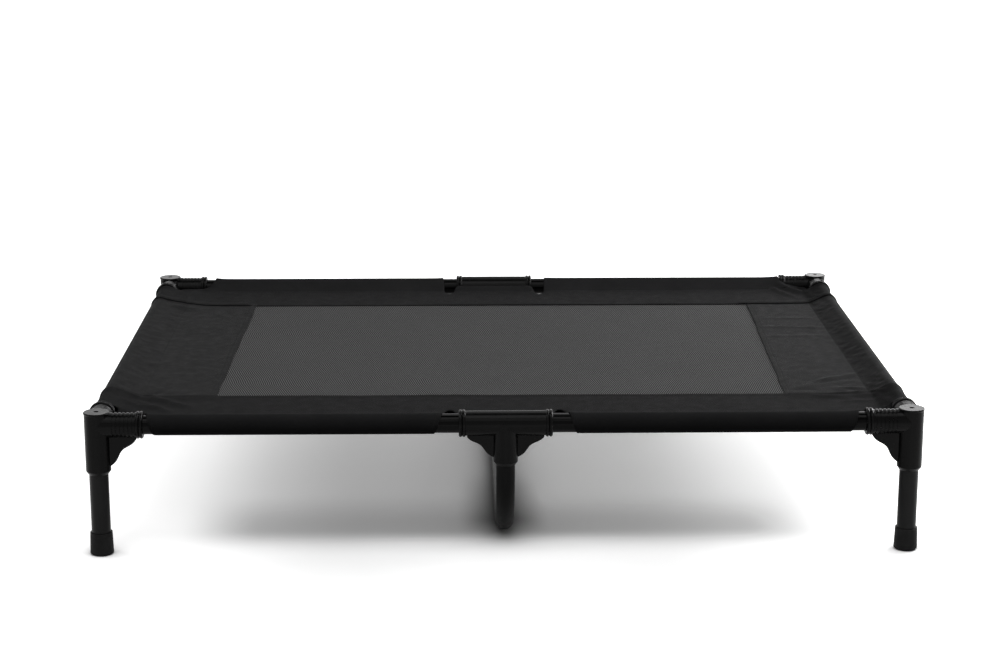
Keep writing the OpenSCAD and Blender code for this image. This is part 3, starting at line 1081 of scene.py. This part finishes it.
def floor_material():
    """White to the camera and in reflections, with the cot's shadow, partly cast by the lamps and partly
    painted, and dim to other rays.
    """
    nodes = material_nodes("White floor")
    place = object_place(nodes)
    seen = seen_rays(nodes)
    shade = floor_shade(nodes, place)
    colour = nodes.math("MULTIPLY", nodes.ramp(seen, (0.0, FLOOR_DIM), (1.0, FLOOR_PALE)), shade)
    across = nodes.add("ShaderNodeVectorMath", _operation="MULTIPLY", i0=place, i1=GLOW_STRETCH)
    away = nodes.add("ShaderNodeVectorMath", _operation="LENGTH", i0=across.outputs["Vector"])
    glow = nodes.smooth(away.outputs["Value"], GLOW_FROM, GLOW_TO, GLOW_LEAST, 1.0)
    open_above = nodes.add("ShaderNodeAmbientOcclusion", Distance=CONTACT_REACH).outputs["AO"]
    lit = nodes.math("MULTIPLY", glow, nodes.math("POWER", open_above, CONTACT_POWER))
    lit = nodes.math("MULTIPLY", lit, shade)
    return nodes.finish(
        Base_Color=colour, Roughness=0.9, Specular_IOR_Level=0.0, Emission_Color=(1, 1, 1, 1),
        Emission_Strength=nodes.math("MULTIPLY", seen, lit),
    )


def make_floor():
    """A wide floor just below the feet."""
    mesh = bpy.data.meshes.new("floor")
    far = FLOOR_HALF
    corners = [(-far, -far, 0), (far, -far, 0), (far, far, 0), (-far, far, 0)]
    mesh.from_pydata(corners, [], [(0, 1, 2, 3)])
    floor = bpy.data.objects.new("floor", mesh)
    floor.location.z = -FLOOR_DROP
    bpy.context.scene.collection.objects.link(floor)
    mesh.materials.append(floor_material())


# Height of a ray's direction at which the white backdrop starts and ends to darken, how bright the ceiling
# over it is, and how bright the studio is to rays that aren't seen
BACKDROP_TOP = 0.30
CEILING_FROM = 0.90
CEILING_LIGHT = 0.04
ROOM_LIGHT = 0.12


def make_world():
    """Studio: a white backdrop with a dark ceiling to the camera and in reflections, dim to other rays."""
    world = bpy.data.worlds.new("Studio")
    bpy.context.scene.world = world
    nodes = Nodes(world, "Background")
    direction = nodes.add("ShaderNodeTexCoord").outputs["Generated"]
    axes = nodes.add("ShaderNodeSeparateXYZ", Vector=direction).outputs
    backdrop = nodes.smooth(axes["Z"], BACKDROP_TOP, CEILING_FROM, 1.0, CEILING_LIGHT)
    pick = nodes.add("ShaderNodeMix", _data_type="FLOAT", Factor=seen_rays(nodes), A=ROOM_LIGHT, B=backdrop)
    nodes.finish(Color=(1, 1, 1, 1), Strength=pick.outputs["Result"])


def make_lamp(name, place, target, width, depth, power):
    """A soft box that faces a point."""
    light = bpy.data.lights.new(name, "AREA")
    light.shape = "RECTANGLE"
    light.size = width
    light.size_y = depth
    light.energy = power
    lamp = bpy.data.objects.new(name, light)
    place = Vector(place)
    lamp.location = place
    lamp.rotation_euler = (Vector(target) - place).to_track_quat("-Z", "Y").to_euler()
    bpy.context.scene.collection.objects.link(lamp)


# Soft boxes: name, place, the point that they face, width, depth and power
LAMPS = (
    ("top soft box", (0.1, -1.1, 2.9), (0, 0, 0.2), 3.0, 1.5, 46.0),
    ("front soft box", (-0.2, -2.4, 2.3), (0, -0.3, 0.2), 2.4, 1.0, 13.0),
    ("rear top soft box", (0.1, 1.7, 2.9), (0, 0, 0.2), 2.6, 1.2, 15.0),
    ("left soft box", (-2.4, 0.2, 2.2), (0, 0, 0.2), 0.9, 0.9, 15.0),
    ("right soft box", (2.2, 1.1, 2.6), (0, 0, 0.2), 0.9, 0.9, 40.0),
    ("low right soft box", (1.7, 0.9, 0.62), (0.6, 0, 0.2), 1.0, 0.7, 30.0),
    ("rear right soft box", (1.9, 4.5, 1.5), (0.2, 0, 0.2), 3.0, 1.2, 32.0),
    ("rear left soft box", (-1.7, 4.5, 1.5), (0.2, 0, 0.2), 3.2, 1.2, 10.0),
)


def make_lamps():
    for lamp in LAMPS:
        make_lamp(*lamp)


# Camera fitted to the corners, caps and feet of the cot in the photo
CAMERA_AT = (-0.0785, -3.5221, 1.1087)
CAMERA_YAW = math.radians(-1.3045)
CAMERA_PITCH = math.radians(14.1995)
CAMERA_ROLL = math.radians(0.0785)
CAMERA_LENS = 79.88


def make_camera():
    data = bpy.data.cameras.new("camera")
    data.sensor_fit = "HORIZONTAL"
    data.sensor_width = 36.0
    data.lens = CAMERA_LENS
    camera = bpy.data.objects.new("camera", data)
    turn = Matrix.Rotation(CAMERA_YAW, 3, "Z")
    tilt = Matrix.Rotation(math.pi / 2 - CAMERA_PITCH, 3, "X")
    roll = Matrix.Rotation(CAMERA_ROLL, 3, "Z")
    camera.matrix_world = Matrix.Translation(CAMERA_AT) @ (turn @ tilt @ roll).to_4x4()
    bpy.context.scene.collection.objects.link(camera)
    bpy.context.scene.camera = camera


bpy.context.scene.view_settings.view_transform = "Standard"
make_camera()
make_world()
make_lamps()
make_floor()
dress_frame()
make_cover()
